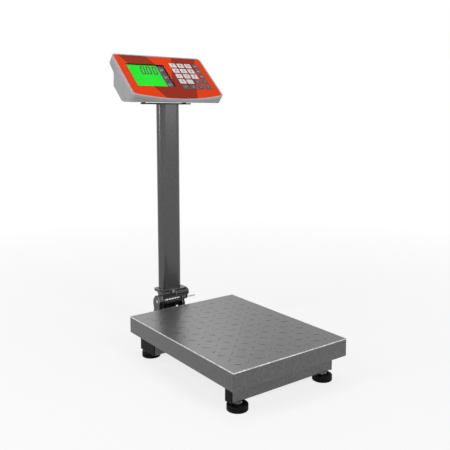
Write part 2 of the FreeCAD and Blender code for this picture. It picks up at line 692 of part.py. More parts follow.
def main_board():
    """Circuit board with one push switch behind each key."""
    board = box(-108, 112, -56, 56, BOARD_TOP - 1.6, BOARD_TOP)
    switches = []
    for left in KEY_COLUMNS:
        for top in KEY_TOPS:
            x = left + KEY_WIDTH / 2
            y = top - KEY_HEIGHT / 2
            switches.append(box(x - 3, x + 3, y - 3, y + 3, BOARD_TOP, BOARD_TOP + 4.0))
            switches.append(cylinder(1.7, (x, y, BOARD_TOP + 3.5), (0, 0, 1), 1.3))
    chips = [box(-60, -40, -20, 0, BOARD_TOP - 4, BOARD_TOP - 1.5), box(20, 50, 10, 30, BOARD_TOP - 5, BOARD_TOP - 1.5)]
    return fused([board] + switches + chips)


def battery():
    """Sealed rechargeable block in the deep part of the case."""
    return box(-40, 57, -34, 14, -46.2, -22)


def charge_socket():
    """Round socket for the charger's plug, from inside the back wall."""
    body = cylinder(5.5, (-85, -12, -49.6), (0, 0, 1), 12.0)
    flange = cylinder(7.5, (-85, -12, -46.4), (0, 0, 1), 2.0)
    bore = cylinder(2.9, (-85, -12, -50.0), (0, 0, 1), 9.0)
    pin = cylinder(1.0, (-85, -12, -49.0), (0, 0, 1), 10.0)
    return fused([fused([body, flange]).cut(bore), pin])


def tilt_bolts():
    """Two shoulder bolts that clamp the lugs between the bracket's ears."""
    bolts = []
    for side in (-1, 1):
        shank_x = sorted((side * 50.0, side * 61.0))
        thread_x = sorted((side * 47.0, side * 56.6))
        head_x = sorted((side * (EAR_OUTER + 0.3), side * (EAR_OUTER + 4.8)))
        thread = along_x(2.5, TILT_Y, TILT_Z, *thread_x)
        shank = along_x(3.0, TILT_Y, TILT_Z, *sorted((side * 56.7, side * 61.0)))
        head = along_x(6.0, TILT_Y, TILT_Z, *head_x)
        core = along_x(2.4, TILT_Y, TILT_Z, *shank_x)
        bolts.append(fused([thread, core, shank, head]))
    return Part.makeCompound(bolts)


def power_switch():
    """Rocker button in the back wall, at rest with its lower end pressed in."""
    outline = [(6.0, -4.2), (0.0, -3.0), (-6.8, -2.4), (-6.8, 2.0), (6.8, 2.0)]
    points = [(ROCKER_PIVOT[0] + y, ROCKER_PIVOT[1] + z) for y, z in outline]
    trunnion = along_x(1.5, *ROCKER_PIVOT, SWITCH_X - 10.35, SWITCH_X + 10.35)
    return fused([prism_x(points, SWITCH_X - 10.0, SWITCH_X + 10.0), trunnion])


def key_cap(left, top):
    """Key: pad in its window, flange under the overlay and a small plunger."""
    right = left + KEY_WIDTH
    bottom = top - KEY_HEIGHT
    pad = box(left, right, bottom, top, -1.6, KEY_RISE)
    pad = pad.makeFillet(1.0, [e for e in pad.Edges if abs(e.tangentAt(0).z) > 0.9])
    flange = box(left - 1.0, right + 1.0, bottom - 1.0, top + 1.0, -1.6, -0.8)
    plunger = cylinder(2.0, ((left + right) / 2, (bottom + top) / 2, -2.6), (0, 0, 1), 1.5)
    return fused([pad, flange, plunger])


def named_nodes():
    """Every node's name and shape."""
    nodes = {
        "front_cross_tube": cross_tube(FRONT_TUBE_Y, FRONT_TUBE_WIDTH),
        "rear_cross_tube": cross_tube(REAR_TUBE_Y, REAR_TUBE_WIDTH),
        "tube_end_caps": tube_end_caps(),
        "spine_channel": spine_channel(),
        "load_cell": load_cell(),
        "cell_spacers": cell_spacers(),
        "cell_bolts": cell_bolts(),
        "pan_spider": pan_spider(),
        "pan_bumpers": pan_bumpers(),
        "platform_pan": platform_pan(),
        "foot_lock_nuts": foot_lock_nuts(),
        "mast_bracket": mast_bracket(),
        "bracket_bolts": bracket_bolts(),
        "hinge_base": hinge_base(),
        "hinge_head": hinge_head(),
        "hinge_head_bolts": hinge_head_bolts(),
        "lock_rod": lock_rod(),
        "lock_spring": lock_spring(),
        "mast_tube": mast_tube(),
        "head_bracket": head_bracket(),
        "tilt_bolts": tilt_bolts(),
        "rear_case": head_placed(rear_case()),
        "front_bezel": head_placed(front_bezel()),
        "face_overlay": head_placed(face_overlay()),
        "lcd_window": head_placed(lcd_window()),
        "lcd_panel": head_placed(lcd_panel()),
        "main_board": head_placed(main_board()),
        "battery": head_placed(battery()),
        "case_screws": case_screws(),
        "charge_socket": head_placed(charge_socket()),
        "power_switch": head_placed(power_switch()),
    }
    for index in range(4):
        nodes[f"foot_pad_{index + 1}"] = foot_pad(index)
        nodes[f"foot_stud_{index + 1}"] = foot_stud(index)
    for row, top in enumerate(KEY_TOPS):
        for column, left in enumerate(KEY_COLUMNS):
            nodes[KEY_NAMES[row][column]] = head_placed(key_cap(left, top))
    return nodes


os.makedirs("parts", exist_ok=True)
for node_name, node_shape in named_nodes().items():
    node_shape.exportStep(f"parts/{node_name}.step")
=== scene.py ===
"""Looks of a folding platform shipping scale.

Finishes, tread relief, display, key legends and studio, in metres.
"""

import json
import logging
import math
from dataclasses import dataclass, field
from enum import Enum

import bpy
import bmesh
from mathutils import Matrix, Vector


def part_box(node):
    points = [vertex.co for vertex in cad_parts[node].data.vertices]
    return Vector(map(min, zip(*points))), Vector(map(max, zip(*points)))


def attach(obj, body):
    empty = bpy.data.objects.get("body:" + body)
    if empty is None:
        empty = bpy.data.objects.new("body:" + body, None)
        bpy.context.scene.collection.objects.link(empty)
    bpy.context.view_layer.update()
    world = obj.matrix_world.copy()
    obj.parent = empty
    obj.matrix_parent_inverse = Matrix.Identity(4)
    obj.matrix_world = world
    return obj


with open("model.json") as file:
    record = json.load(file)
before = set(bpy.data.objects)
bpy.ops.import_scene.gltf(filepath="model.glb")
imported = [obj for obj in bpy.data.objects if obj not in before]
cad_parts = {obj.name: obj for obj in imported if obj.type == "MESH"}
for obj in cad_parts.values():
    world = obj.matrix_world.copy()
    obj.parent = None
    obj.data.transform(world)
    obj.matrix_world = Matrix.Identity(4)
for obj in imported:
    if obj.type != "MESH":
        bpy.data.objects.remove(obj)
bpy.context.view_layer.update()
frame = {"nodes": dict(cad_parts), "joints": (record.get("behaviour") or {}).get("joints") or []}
LOG = logging.getLogger("scale")
MM = 0.001
WHITE = (1.0, 1.0, 1.0, 1.0)


# ------------------------------------------------------------------ small helpers

def linear(code: str) -> tuple[float, float, float, float]:
    """Turn an sRGB hex colour into linear RGBA.

    Args:
        code: Six hex digits, such as "7b7c7e".

    Returns:
        Linear red, green and blue, and alpha 1.
    """
    channels = []
    for start in (0, 2, 4):
        value = int(code[start:start + 2], 16) / 255.0
        channels.append(value / 12.92 if value <= 0.04045 else ((value + 0.055) / 1.055) ** 2.4)
    return (channels[0], channels[1], channels[2], 1.0)


def per(size_mm: float) -> float:
    """Texture scale at which a pattern's detail has a real size in millimetres."""
    return 1 / (size_mm * MM)


def add_node(
    tree: bpy.types.NodeTree, kind: str, inputs: dict | None = None,
    stops: list[tuple[float, str]] | None = None, **settings: object,
) -> bpy.types.Node:
    """Add one node, set its properties, and set or link its inputs.

    Args:
        tree: The node tree to add to.
        kind: The node's type name.
        inputs: Input name or number to a plain value or an output socket.
        stops: For a colour ramp, the position and hex colour of its two stops.
        settings: Properties of the node itself.

    Returns:
        The new node.
    """
    node = tree.nodes.new(kind)
    for name, value in settings.items():
        setattr(node, name, value)
    for name, value in (inputs or {}).items():
        if isinstance(value, bpy.types.NodeSocket):
            tree.links.new(value, node.inputs[name])
        else:
            node.inputs[name].default_value = value
    if stops:
        for element, (position, code) in zip(node.color_ramp.elements, stops):
            element.position = position
            element.color = linear(code)
    return node


def new_material(name: str) -> tuple[bpy.types.Material, bpy.types.NodeTree, bpy.types.Node]:
    """Make an empty material with a Principled shader wired to its output.

    Args:
        name: The material's name.

    Returns:
        The material, its node tree and the shader node.
    """
    material = bpy.data.materials.new(name)
    material.use_nodes = True
    tree = material.node_tree
    tree.nodes.clear()
    shader = add_node(tree, "ShaderNodeBsdfPrincipled")
    add_node(tree, "ShaderNodeOutputMaterial", {"Surface": shader.outputs[0]})
    return material, tree, shader


def wire(
    tree: bpy.types.NodeTree, shader: bpy.types.Node, colour: bpy.types.NodeSocket | None,
    rough: bpy.types.NodeSocket | None, bump: bpy.types.NodeSocket | None,
) -> None:
    """Link a finish's patterns to its shader.

    Args:
        tree: The node tree.
        shader: The shader node.
        colour: Base colour, if it varies.
        rough: Roughness, if it varies.
        bump: Bumped normal, if there is relief.
    """
    for name, socket in (("Base Color", colour), ("Roughness", rough), ("Normal", bump)):
        if socket:
            tree.links.new(socket, shader.inputs[name])


def dress(material: bpy.types.Material, *names: str) -> None:
    """Give CAD nodes a material.

    Args:
        material: The finish.
        names: The nodes' names.
    """
    for name in names:
        node = frame["nodes"][name]
        node.data.materials.clear()
        node.data.materials.append(material)


def nodes_named(prefix: str) -> list[str]:
    """All CAD node names that start with a prefix, in order."""
    return sorted(name for name in frame["nodes"] if name.startswith(prefix))


def deselect() -> None:
    """Clear the selection, and leave edit mode if it is on."""
    if bpy.context.object and bpy.context.object.mode != "OBJECT":
        bpy.ops.object.mode_set(mode="OBJECT")
    bpy.ops.object.select_all(action="DESELECT")


def only(piece: bpy.types.Object) -> None:
    """Make one object the whole selection and the active one.

    Args:
        piece: The object.
    """
    deselect()
    piece.select_set(True)
    bpy.context.view_layer.objects.active = piece


def bake_place(piece: bpy.types.Object, place: Matrix | None = None) -> None:
    """Move a piece's transform into its mesh, so that its object sits at the origin.

    Args:
        piece: The mesh object.
        place: A further transform, such as from the face's frame to the row frame.
    """
    bpy.context.view_layer.update()
    total = (place or Matrix.Identity(4)) @ piece.matrix_world
    piece.data.transform(total)
    piece.matrix_world = Matrix.Identity(4)


def joined(pieces: list[bpy.types.Object], name: str) -> bpy.types.Object:
    """Join mesh objects into one.

    Args:
        pieces: The objects, each with its own mesh.
        name: The name of the result.

    Returns:
        The joined object.
    """
    deselect()
    for piece in pieces:
        piece.select_set(True)
    bpy.context.view_layer.objects.active = pieces[0]
    if len(pieces) > 1:
        bpy.ops.object.join()
    result = bpy.context.view_layer.objects.active
    result.name = name
    result.data.name = name
    return result


def finish_piece(
    piece: bpy.types.Object, material: bpy.types.Material, body: str,
) -> None:
    """Dress a new piece and let it ride on a CAD body.

    Args:
        piece: The piece, already in place.
        material: Its finish.
        body: The CAD body that it moves with.
    """
    piece.data.materials.clear()
    piece.data.materials.append(material)
    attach(piece, body)
    LOG.info("made %s on %s with %d faces", piece.name, body, len(piece.data.polygons))


# ------------------------------------------------------------------ finishes

def face_plane(
    tree: bpy.types.NodeTree, place: bpy.types.NodeSocket, to_face: Matrix,
) -> bpy.types.Node:
    """Turn a point on the object into the face's own coordinates.

    Args:
        tree: The node tree.
        place: The point's place on the object.
        to_face: Transform from the row frame to the face's own frame.

    Returns:
        A node whose outputs are x across the face, y up it and z out of it.
    """
    turned = add_node(
        tree, "ShaderNodeMapping",
        {"Vector": place, "Location": to_face.to_translation(),
         "Rotation": tuple(to_face.to_euler())},
    )
    return add_node(tree, "ShaderNodeSeparateXYZ", {0: turned.outputs[0]})


@dataclass(frozen=True)
class HammertoneEnamel:
    """Hammertone stoving enamel on steel.

    Aluminium flake in the paint gives a dull metallic sheen, and the paint pulls into shallow
    dimples a few millimetres wide that break up every highlight.
    """

    name: str = "hammertone_enamel"
    dark: str = "505051"
    light: str = "666667"
    dimple_mm: float = 3.0
    wander_mm: float = 1.6
    flake_cloud_mm: float = 5.556
    relief: float = 0.13
    relief_mm: float = 0.6
    metallic: float = 0.6
    roughness: float = 0.3

    def make(self) -> bpy.types.Material:
        """Build the material.

        Returns:
            The material.
        """
        material, tree, shader = new_material(self.name)
        place = add_node(tree, "ShaderNodeTexCoord").outputs["Object"]
        # The dimples' grid is pushed about, so that they never line up in rows.
        wander = add_node(
            tree, "ShaderNodeTexNoise", {"Vector": place, "Scale": per(4 * self.dimple_mm)},
        )
        push = add_node(
            tree, "ShaderNodeVectorMath",
            {0: wander.outputs["Color"], 1: (self.wander_mm * MM,) * 3}, operation="MULTIPLY",
        )
        pushed = add_node(
            tree, "ShaderNodeVectorMath", {0: place, 1: push.outputs[0]}, operation="ADD",
        )
        cells = add_node(
            tree, "ShaderNodeTexVoronoi",
            {"Vector": pushed.outputs[0], "Scale": per(self.dimple_mm), "Smoothness": 0.6},
            feature="SMOOTH_F1",
        )
        cloud = add_node(
            tree, "ShaderNodeTexNoise",
            {"Vector": place, "Scale": per(self.flake_cloud_mm), "Detail": 2.0},
        )
        tone = add_node(
            tree, "ShaderNodeMath",
            {0: cells.outputs["Distance"], 1: 0.55, 2: cloud.outputs[0]}, operation="MULTIPLY_ADD",
        )
        colour = add_node(
            tree, "ShaderNodeValToRGB", {"Fac": tone.outputs[0]},
            stops=[(0.3, self.dark), (0.95, self.light)],
        )
        rough = add_node(
            tree, "ShaderNodeMapRange",
            {"Value": cloud.outputs[0], "To Min": self.roughness - 0.05,
             "To Max": self.roughness + 0.07},
        )
        bump = add_node(
            tree, "ShaderNodeBump",
            {"Height": cells.outputs["Distance"], "Strength": self.relief,
             "Distance": self.relief_mm * MM},
        )
        wire(tree, shader, colour.outputs[0], rough.outputs[0], bump.outputs[0])
        shader.inputs["Metallic"].default_value = self.metallic
        return material


@dataclass(frozen=True)
class WornCastEnamel:
    """Black enamel on a sand casting, with a pale painted highlight along its edges.

    The gloss paint gives deep darks and sharp highlights, and the edges are painted paler than the
    rest as a highlight.
    """

    name: str = "worn_cast_enamel"
    dark: str = "19191a"
    light: str = "3a3b3c"
    # Pale metal tone painted along the edges as a highlight.
    bare: str = "b4b4b6"
    grain_mm: float = 1.8
    edge_mm: float = 2.4
    roughness: float = 0.2
    worn_roughness: float = 0.42
    relief_mm: float = 0.3

    def make(self) -> bpy.types.Material:
        """Build the material.

        Returns:
            The material.
        """
        material, tree, shader = new_material(self.name)
        place = add_node(tree, "ShaderNodeTexCoord").outputs["Object"]
        grain = add_node(
            tree, "ShaderNodeTexNoise",
            {"Vector": place, "Scale": per(self.grain_mm), "Detail": 2.0},
        )
        paint = add_node(
            tree, "ShaderNodeValToRGB", {"Fac": grain.outputs[0]},
            stops=[(0.3, self.dark), (0.8, self.light)],
        )
        # Near an edge the rounded normal leaves the flat one, and a pale metallic painted highlight
        # is mixed in there.
        rounded = add_node(tree, "ShaderNodeBevel", {"Radius": self.edge_mm * MM}, samples=6)
        flat = add_node(tree, "ShaderNodeNewGeometry")
        agreement = add_node(
            tree, "ShaderNodeVectorMath",
            {0: rounded.outputs[0], 1: flat.outputs["True Normal"]}, operation="DOT_PRODUCT",
        )
        edge_highlight_share = add_node(
            tree, "ShaderNodeMapRange",
            {"Value": agreement.outputs["Value"], "From Min": 0.86, "From Max": 0.985,
             "To Min": 0.85, "To Max": 0.0},
        )
        colour = add_node(
            tree, "ShaderNodeMix",
            {"Factor": edge_highlight_share.outputs[0], 6: paint.outputs[0], 7: linear(self.bare)},
            data_type="RGBA",
        )
        rough = add_node(
            tree, "ShaderNodeMapRange",
            {"Value": edge_highlight_share.outputs[0], "To Min": self.roughness, "To Max": self.worn_roughness},
        )
        bump = add_node(
            tree, "ShaderNodeBump",
            {"Height": grain.outputs[0], "Strength": 0.2, "Distance": self.relief_mm * MM},
        )
        wire(tree, shader, colour.outputs[2], rough.outputs[0], bump.outputs[0])
        tree.links.new(edge_highlight_share.outputs[0], shader.inputs["Metallic"])
        return material


@dataclass(frozen=True)
class GrainedSurface:
    """A moulded, cast or rubbed surface: two close tones, fine grain and a small relief.

    It serves moulded, rubber, printed and plated parts, which differ in colour, sheen and grain
    size only.
    """

    name: str
    dark: str
    light: str
    grain_mm: float = 0.6
    relief: float = 0.12
    metallic: float = 0.0
    roughness: float = 0.45
    coat: float = 0.0
    specular: float = 0.5
    cloud_mm: float = 40.0
    relief_mm: float = 0.2

    def make(self) -> bpy.types.Material:
        """Build the material.

        Returns:
            The material.
        """
        material, tree, shader = new_material(self.name)
        place = add_node(tree, "ShaderNodeTexCoord").outputs["Object"]
        grain = add_node(
            tree, "ShaderNodeTexNoise",
            {"Vector": place, "Scale": per(self.grain_mm), "Detail": 2.0},
        )
        cloud = add_node(
            tree, "ShaderNodeTexNoise",
            {"Vector": place, "Scale": per(self.cloud_mm), "Detail": 4.0},
        )
        tone = add_node(
            tree, "ShaderNodeMath", {0: grain.outputs[0], 1: 0.35, 2: -0.1},
            operation="MULTIPLY_ADD",
        )
        total = add_node(
            tree, "ShaderNodeMath", {0: tone.outputs[0], 1: cloud.outputs[0]}, operation="ADD",
        )
        colour = add_node(
            tree, "ShaderNodeValToRGB", {"Fac": total.outputs[0]},
            stops=[(0.3, self.dark), (0.85, self.light)],
        )
        rough = add_node(
            tree, "ShaderNodeMapRange",
            {"Value": total.outputs[0], "To Min": self.roughness - 0.05,
             "To Max": self.roughness + 0.08},
        )
        bump = add_node(
            tree, "ShaderNodeBump",
            {"Height": grain.outputs[0], "Strength": self.relief, "Distance": self.relief_mm * MM},
        )
        wire(tree, shader, colour.outputs[0], rough.outputs[0], bump.outputs[0])
        shader.inputs["Metallic"].default_value = self.metallic
        shader.inputs["Coat Weight"].default_value = self.coat
        shader.inputs["Specular IOR Level"].default_value = self.specular
        return material


@dataclass(frozen=True)
class TurnedSteel:
    """Turned and plated steel: fine rings around the X axis that stretch its highlight."""

    name: str
    colour: str
    ring_mm: float = 0.5
    roughness: float = 0.22
    stain_mm: float = 11.11
    relief_mm: float = 0.1

    def make(self) -> bpy.types.Material:
        """Build the material.

        Returns:
            The material.
        """
        material, tree, shader = new_material(self.name)
        place = add_node(tree, "ShaderNodeTexCoord").outputs["Object"]
        # The wave turns 20 radians per unit, so the rings are about six times ring_mm apart:
        # real ones are too fine to show.
        rings = add_node(
            tree, "ShaderNodeTexWave",
            {"Vector": place, "Scale": per(20 * self.ring_mm), "Distortion": 0.4},
            bands_direction="X",
        )
        stains = add_node(
            tree, "ShaderNodeTexNoise",
            {"Vector": place, "Scale": per(self.stain_mm), "Detail": 3.0},
        )
        rough = add_node(
            tree, "ShaderNodeMapRange",
            {"Value": stains.outputs[0], "To Min": self.roughness - 0.06,
             "To Max": self.roughness + 0.14},
        )
        bump = add_node(
            tree, "ShaderNodeBump",
            {"Height": rings.outputs[1], "Strength": 0.08, "Distance": self.relief_mm * MM},
        )
        wire(tree, shader, None, rough.outputs[0], bump.outputs[0])
        shader.inputs["Base Color"].default_value = linear(self.colour)
        shader.inputs["Metallic"].default_value = 1.0
        return material


@dataclass(frozen=True)
class PrintedFilm:
    """Polyester front film, printed from behind: orange with two crossing dark red bands.

    The film's fine matt texture softens the lamps' reflections without hiding them.
    """

    name: str = "printed_polyester_film"
    orange: str = "ea3c00"
    dark_red: str = "962810"
    band_slope: float = 0.43
    falling: tuple[float, float] = (-0.0785, -0.0025)
    rising: tuple[float, float] = (0.0095, 0.0795)
    grain_mm: float = 0.4545
    relief_mm: float = 0.1
    specular: float = 0.08

    def make(self, to_face: Matrix) -> bpy.types.Material:
        """Build the material.

        Args:
            to_face: Transform from the row frame to the face's own frame.

        Returns:
            The material.
        """
        material, tree, shader = new_material(self.name)
        place = add_node(tree, "ShaderNodeTexCoord").outputs["Object"]
        split = face_plane(tree, place, to_face)
        masks = []
        for slope, (low, high) in (
            (self.band_slope, self.falling), (-self.band_slope, self.rising),
        ):
            across = add_node(
                tree, "ShaderNodeMath", {0: split.outputs[1], 1: slope, 2: split.outputs[0]},
                operation="MULTIPLY_ADD",
            )
            above = add_node(
                tree, "ShaderNodeMath", {0: across.outputs[0], 1: low}, operation="GREATER_THAN",
            )
            below = add_node(
                tree, "ShaderNodeMath", {0: across.outputs[0], 1: high}, operation="LESS_THAN",
            )
            masks.append(add_node(
                tree, "ShaderNodeMath", {0: above.outputs[0], 1: below.outputs[0]},
                operation="MULTIPLY",
            ))
        dark = add_node(
            tree, "ShaderNodeMath", {0: masks[0].outputs[0], 1: masks[1].outputs[0]},
            operation="MAXIMUM",
        )
        colour = add_node(
            tree, "ShaderNodeValToRGB", {"Fac": dark.outputs[0]},
            stops=[(0.0, self.orange), (1.0, self.dark_red)],
        )
        grain = add_node(
            tree, "ShaderNodeTexNoise",
            {"Vector": place, "Scale": per(self.grain_mm), "Detail": 1.0},
        )
        rough = add_node(
            tree, "ShaderNodeMapRange", {"Value": grain.outputs[0], "To Min": 0.44, "To Max": 0.56},
        )
        bump = add_node(
            tree, "ShaderNodeBump",
            {"Height": grain.outputs[0], "Strength": 0.05, "Distance": self.relief_mm * MM},
        )
        wire(tree, shader, colour.outputs[0], rough.outputs[0], bump.outputs[0])
        shader.inputs["Specular IOR Level"].default_value = self.specular
        return material


@dataclass(frozen=True)
class TwoToneBezel:
    """Moulded ABS bezel: pale outside, and masked with black inside the display opening.

    Fine spark texture keeps it matt; the black lining stops light from creeping round the display.
    """

    name: str = "two_tone_bezel_abs"
    dark: str = "9d9ea1"
    light: str = "b2b3b6"
    lining: str = "141316"
    centre: tuple[float, float] = (-0.050, -0.00125)
    reach: tuple[float, float] = (0.0545, 0.0440)
    grain_mm: float = 0.7143
    relief_mm: float = 0.2

    def make(self, to_face: Matrix) -> bpy.types.Material:
        """Build the material.

        Args:
            to_face: Transform from the row frame to the face's own frame.

        Returns:
            The material.
        """
        material, tree, shader = new_material(self.name)
        place = add_node(tree, "ShaderNodeTexCoord").outputs["Object"]
        split = face_plane(tree, place, to_face)
        inside = []
        for axis in (0, 1):
            offset = add_node(
                tree, "ShaderNodeMath", {0: split.outputs[axis], 1: self.centre[axis]},
                operation="SUBTRACT",
            )
            far = add_node(tree, "ShaderNodeMath", {0: offset.outputs[0]}, operation="ABSOLUTE")
            inside.append(add_node(
                tree, "ShaderNodeMath", {0: far.outputs[0], 1: self.reach[axis]},
                operation="LESS_THAN",
            ))
        lined = add_node(
            tree, "ShaderNodeMath", {0: inside[0].outputs[0], 1: inside[1].outputs[0]},
            operation="MULTIPLY",
        )
        grain = add_node(
            tree, "ShaderNodeTexNoise",
            {"Vector": place, "Scale": per(self.grain_mm), "Detail": 2.0},
        )
        tone = add_node(
            tree, "ShaderNodeValToRGB", {"Fac": grain.outputs[0]},
            stops=[(0.3, self.dark), (0.7, self.light)],
        )
        colour = add_node(
            tree, "ShaderNodeMix",
            {"Factor": lined.outputs[0], 6: tone.outputs[0], 7: linear(self.lining)},
            data_type="RGBA",
        )
        rough = add_node(
            tree, "ShaderNodeMapRange", {"Value": grain.outputs[0], "To Min": 0.36, "To Max": 0.46},
        )
        bump = add_node(
            tree, "ShaderNodeBump",
            {"Height": grain.outputs[0], "Strength": 0.12, "Distance": self.relief_mm * MM},
        )
        wire(tree, shader, colour.outputs[2], rough.outputs[0], bump.outputs[0])
        return material


@dataclass(frozen=True)
class BacklitGlass:
    """Liquid-crystal field lit from behind: an even green glow with faint brighter clouds."""

    name: str = "backlit_lcd_glass"
    green: str = "02eb16"
    bright: str = "06fb20"
    unlit: str = "024008"
    glow: float = 0.86
    cloud_mm: float = 71.43
    specular: float = 0.1
    roughness: float = 0.3

    def make(self) -> bpy.types.Material:
        """Build the material.

        Returns:
            The material.
        """
        material, tree, shader = new_material(self.name)
        place = add_node(tree, "ShaderNodeTexCoord").outputs["Object"]
        cloud = add_node(
            tree, "ShaderNodeTexNoise",
            {"Vector": place, "Scale": per(self.cloud_mm), "Detail": 1.0},
        )
        colour = add_node(
            tree, "ShaderNodeValToRGB", {"Fac": cloud.outputs[0]},
            stops=[(0.3, self.green), (0.75, self.bright)],
        )
        tree.links.new(colour.outputs[0], shader.inputs["Emission Color"])
        shader.inputs["Base Color"].default_value = linear(self.unlit)
        shader.inputs["Emission Strength"].default_value = self.glow
        shader.inputs["Specular IOR Level"].default_value = self.specular
        shader.inputs["Roughness"].default_value = self.roughness
        return material


@dataclass(frozen=True)
class ClearPane:
    """Clear acrylic pane: a thin sheet, so clear that it only adds a faint reflection."""

    name: str = "clear_acrylic"
    tint: str = "2c302c"
    veil: float = 0.02
    gloss: float = 0.15
    smear_mm: float = 16.67

    def make(self) -> bpy.types.Material:
        """Build the material.

        Returns:
            The material.
        """
        material, tree, shader = new_material(self.name)
        place = add_node(tree, "ShaderNodeTexCoord").outputs["Object"]
        smears = add_node(
            tree, "ShaderNodeTexNoise",
            {"Vector": place, "Scale": per(self.smear_mm), "Detail": 2.0},
        )
        rough = add_node(
            tree, "ShaderNodeMapRange", {"Value": smears.outputs[0], "To Min": 0.03, "To Max": 0.1},
        )
        wire(tree, shader, None, rough.outputs[0], None)
        shader.inputs["Base Color"].default_value = linear(self.tint)
        shader.inputs["Alpha"].default_value = self.veil
        shader.inputs["Specular IOR Level"].default_value = self.gloss
        material.surface_render_method = "BLENDED"
        return material


@dataclass
class Finishes:
    """Every finish of the scale, built once."""

    to_face: Matrix
    made: dict[str, bpy.types.Material] = field(default_factory=dict)

    def plain(self) -> list:
        """List the finishes that don't depend on the face's place.

        Returns:
            The finishes, each with a make method.
        """
        grained = GrainedSurface
        return [
            HammertoneEnamel(),
            # The same enamel on the drawn tube: stretched smooth, so the highlights run in bands.
            HammertoneEnamel(
                "hammertone_on_tube", "4e4e4f", "5a5a5b", dimple_mm=2.6, relief=0.02,
                metallic=0.9, roughness=0.2,
            ),
            # Pale enamel on the tray's bend: a painted highlight, drawn as a broken metallic line.
            HammertoneEnamel(
                "polished_enamel_edge", "8e8e90", "dcdcde", relief=0.12, metallic=0.9,
                roughness=0.28,
            ),
            # Black cast enamel, paler and metallic along every edge as a painted highlight.
            WornCastEnamel(),
            # Baked polyester powder: deep black with a faint orange-peel sheen.
            grained("black_powder_coat", "0a0a0b", "151516", 0.7, 0.25, 0.0, 0.42, specular=0.2),
            # Moulded nitrile rubber: dull black that hardly reflects.
            grained("black_rubber", "080808", "111112", 0.8, 0.3, 0.0, 0.5, specular=0.1),
            # Moulded polypropylene: smoother than the rubber, as dark.
            grained("black_polypropylene", "070707", "0f0f10", 0.5, 0.15, 0.0, 0.5, specular=0.1),
            # ABS from a spark-eroded mould: an even fine grain that keeps the grey case matt.
            grained("spark_textured_abs", "949496", "a7a7a9", 0.7, 0.3, 0.0, 0.48),
            # Moulded key caps: almost smooth, with a soft satin shine.
            grained("white_key_cap", "cfcfd0", "dededf", 0.4, 0.05, 0.0, 0.4),
            grained("charcoal_key_cap", "2d3034", "3e4246", 0.4, 0.05, 0.0, 0.4),
            # Pad-printed ink: flat and even.
            grained("legend_black", "101012", "1a1a1c", 0.4, 0.02, 0.0, 0.5),
            grained("legend_pale", "a9adb2", "c9ccd0", 0.4, 0.02, 0.0, 0.5),
            # Screen-printed label patches behind the unit signs.
            grained("label_grey", "56575c", "6f7076", 0.4, 0.02, 0.0, 0.4),
            # Smoked mask round the lit field: near black with a violet cast.
            grained("display_mask", "26222c", "34303a", 0.6, 0.04, 0.0, 0.3),
            # Liquid crystal that blocks the light: a very dark green.
            grained("lcd_segment", "001603", "00200a", 0.6, 0.02, 0.0, 0.3),
            # Extruded aluminium: bright, with a soft even grain.
            grained("extruded_aluminium", "a2a3a6", "bdbec0", 0.4, 0.1, 1.0, 0.35),
            # Zinc plate on steel fasteners: cool grey with a mottled shine.
            grained("zinc_plate", "8f9093", "b4b5b7", 0.9, 0.1, 1.0, 0.3),
            # Solder resist on the board: deep green under a thin gloss.
            grained("solder_resist", "0a3d1e", "125429", 0.6, 0.15, 0.0, 0.35, 0.4),
            # Battery case in moulded ABS: charcoal and matt.
            grained("battery_abs", "1c1d20", "2b2c30", 0.6, 0.12, 0.0, 0.5),
            # Turned, bright-plated steel rod.
            TurnedSteel("bright_turned_steel", "e2e2e3", roughness=0.38),
            # Drawn spring wire: die lines run round it.
            TurnedSteel("drawn_spring_wire", "a9a9ab", ring_mm=0.9, roughness=0.3),
            BacklitGlass(),
            ClearPane(),
        ]

    def build(self) -> dict[str, bpy.types.Material]:
        """Build all the materials.

        Returns:
            The materials, by the name that the sub-assemblies use.
        """
        for finish in self.plain():
            self.made[finish.name] = finish.make()
        for finish in (PrintedFilm(), TwoToneBezel()):
            self.made[finish.name] = finish.make(self.to_face)
        return self.made


# ------------------------------------------------------------------ sub-assemblies

class FaceFrame:
    """The indicator face's own frame: x to the right, y up the face, z out of it."""

    OVERLAY_TOP = 70.4 * MM

    def __init__(self) -> None:
        """Read the face's slope from a key's travel and its place from the overlay."""
        press = next(joint for joint in frame["joints"] if joint["name"] == "key_5_press")
        out = -Vector(press["axis"]).normalized()
        up = out.cross(Vector((1.0, 0.0, 0.0)))
        turn = Matrix(((1, up.x, out.x), (0, up.y, out.y), (0, up.z, out.z))).to_4x4()
        corners = [turn.inverted() @ v.co for v in frame["nodes"]["face_overlay"].data.vertices]
        top = max(c.y for c in corners)
        surface = max(c.z for c in corners)
        origin = turn @ Vector((0.0, top - self.OVERLAY_TOP, surface))
        self.to_row = Matrix.Translation(origin) @ turn
        self.from_row = self.to_row.inverted()

    def box(self, name: str) -> tuple[Vector, Vector]:
        """Lowest and highest corner of a CAD node in the face's frame.

        Args:
            name: The node's name.

        Returns:
            The two corners.
        """
        corners = [self.from_row @ v.co for v in frame["nodes"][name].data.vertices]
        low = Vector(min(c[i] for c in corners) for i in range(3))
        high = Vector(max(c[i] for c in corners) for i in range(3))
        return low, high


